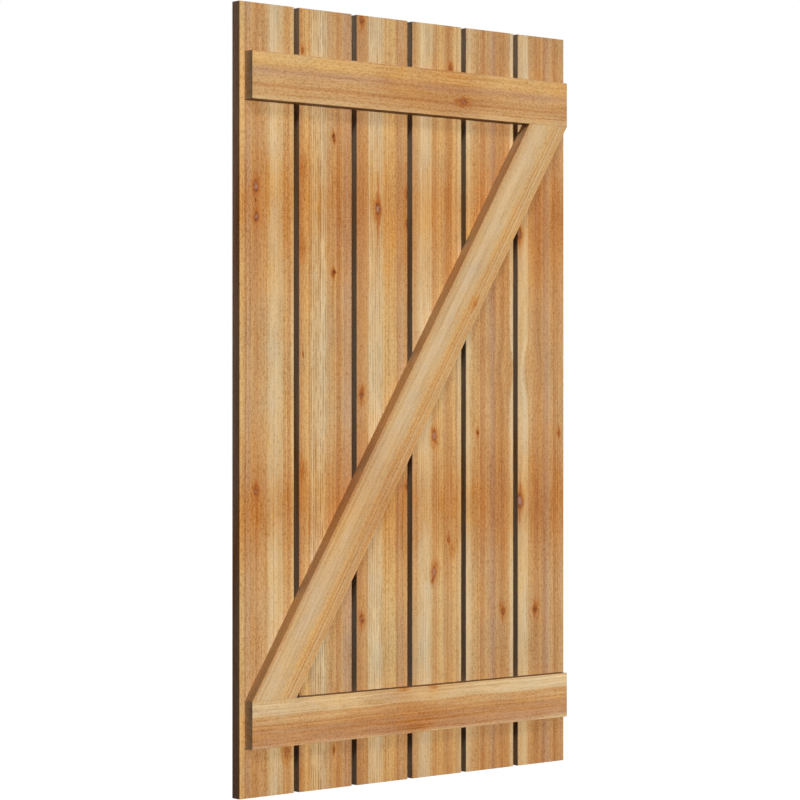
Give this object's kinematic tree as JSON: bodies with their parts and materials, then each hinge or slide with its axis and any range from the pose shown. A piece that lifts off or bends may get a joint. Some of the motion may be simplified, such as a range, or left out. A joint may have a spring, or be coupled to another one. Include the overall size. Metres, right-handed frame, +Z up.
{
  "type": "board and batten shutter",
  "caption": "Wooden window shutter of spaced upright boards, tied across the face by a batten near each end, with a diagonal brace seated between the battens.",
  "frame": {"origin": "centre of the left board's flat back, on the wall plane, at half the shutter's height", "axes": "+X across the boards to the right as seen from the front, +Y into the wall, +Z up; battens and brace face -Y"},
  "size_m": [0.8447, 0.0444, 1.4732],
  "materials": {
    "boards": "unfinished knotty cedar, planed, eased long edges",
    "battens": "unfinished knotty cedar, planed, eased long edges",
    "brace": "unfinished knotty cedar, planed, eased long edges"
  },
  "bodies": {
    "root": {"board_1": "boards", "board_2": "boards", "board_3": "boards", "board_4": "boards", "board_5": "boards", "board_6": "boards", "top_batten": "battens", "bottom_batten": "battens", "diagonal_brace": "brace"}
  },
  "joints": []
}
